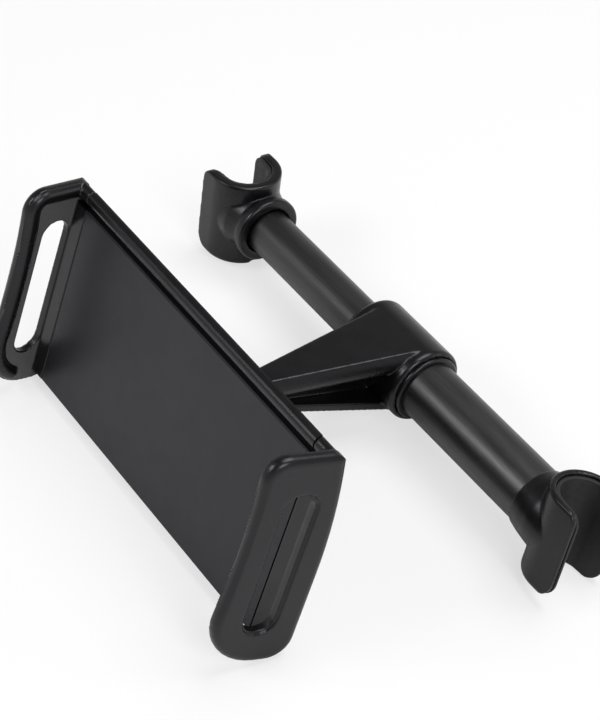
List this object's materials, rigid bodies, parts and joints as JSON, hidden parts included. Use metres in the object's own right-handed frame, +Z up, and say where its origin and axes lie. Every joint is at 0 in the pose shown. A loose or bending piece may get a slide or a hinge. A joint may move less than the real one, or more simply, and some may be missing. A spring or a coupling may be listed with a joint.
{
  "type": "headrest tablet mount",
  "caption": "Telescopic bar with two padded C-hooks for headrest posts, a swinging arm and a ball-jointed tablet holder with two sprung sliding jaws.",
  "frame": {"origin": "on the bar's axis, in the middle of the arm's collar", "axes": "+X along the bar towards the right hook, -Y from the bar towards the holder, +Z up along the headrest posts"},
  "size_m": [0.1986, 0.1268, 0.0767],
  "materials": {
    "black_plastic": "satin moulded",
    "plate_plastic": "fine matt texture",
    "post_rubber": "soft matt",
    "tube_metal": "dark anodised, satin",
    "steel": "zinc plated",
    "nylon": "natural"
  },
  "bodies": {
    "outer_bar": {"outer_tube": "tube_metal", "mouth_bush": "nylon", "stop_ring": "black_plastic", "right_hook": "black_plastic", "right_post_pad": "post_rubber", "right_hook_screw": "steel"},
    "lock_sleeve": {"lock_sleeve": "nylon"},
    "inner_bar": {"inner_tube": "tube_metal", "lock_plug": "black_plastic", "left_anchor": "black_plastic", "left_hook": "black_plastic", "left_post_pad": "post_rubber", "left_hook_screw": "steel"},
    "arm": {"arm": "black_plastic"},
    "ball_cup": {"ball_cup": "nylon"},
    "seat_ring": {"seat_ring": "nylon"},
    "holder": {"rear_shell": "black_plastic", "front_plate": "plate_plastic", "cover_screws": "steel", "left_spring": "steel", "right_spring": "steel"},
    "lock_nut": {"lock_nut": "black_plastic"},
    "left_jaw": {"left_jaw": "black_plastic", "left_tongue": "steel", "left_jaw_screws": "steel"},
    "right_jaw": {"right_jaw": "black_plastic", "right_tongue": "steel", "right_jaw_screws": "steel"}
  },
  "joints": [
    {"name": "telescope", "type": "slide", "parent": "outer_bar", "child": "lock_sleeve", "axis": [1, 0, 0], "range_m": [-0.012, 0.039]},
    {"name": "bar_twist", "type": "hinge", "parent": "lock_sleeve", "child": "inner_bar", "pos_m": [0, 0, 0], "axis": [1, 0, 0], "range_deg": [-90, 90]},
    {"name": "arm_turn", "type": "hinge", "parent": "outer_bar", "child": "arm", "pos_m": [0, 0, 0], "axis": [1, 0, 0], "range_deg": [-100, 100]},
    {"name": "ball_pitch", "type": "hinge", "parent": "arm", "child": "ball_cup", "pos_m": [0, -0.0681, 0.0127], "axis": [1, 0, 0], "range_deg": [-15, 15]},
    {"name": "ball_yaw", "type": "hinge", "parent": "ball_cup", "child": "seat_ring", "pos_m": [0, -0.0681, 0.0127], "axis": [0, 0.2672, 0.9636], "range_deg": [-15, 15]},
    {"name": "holder_spin", "type": "hinge", "parent": "seat_ring", "child": "holder", "pos_m": [0, -0.0681, 0.0127], "axis": [0, -0.9636, 0.2672], "continuous": true},
    {"name": "lock_nut_turn", "type": "hinge", "parent": "holder", "child": "lock_nut", "pos_m": [0, -0.0681, 0.0127], "axis": [0, -0.9636, 0.2672], "range_deg": [0, 270]},
    {"name": "left_jaw_slide", "type": "slide", "parent": "holder", "child": "left_jaw", "axis": [-1, 0, 0], "range_m": [0, 0.032], "stiffness_N_per_m": 180, "springref_m": -0.03, "deforming": ["left_spring"]},
    {"name": "right_jaw_slide", "type": "slide", "parent": "holder", "child": "right_jaw", "axis": [1, 0, 0], "range_m": [0, 0.032], "stiffness_N_per_m": 180, "springref_m": -0.03, "deforming": ["right_spring"]}
  ]
}
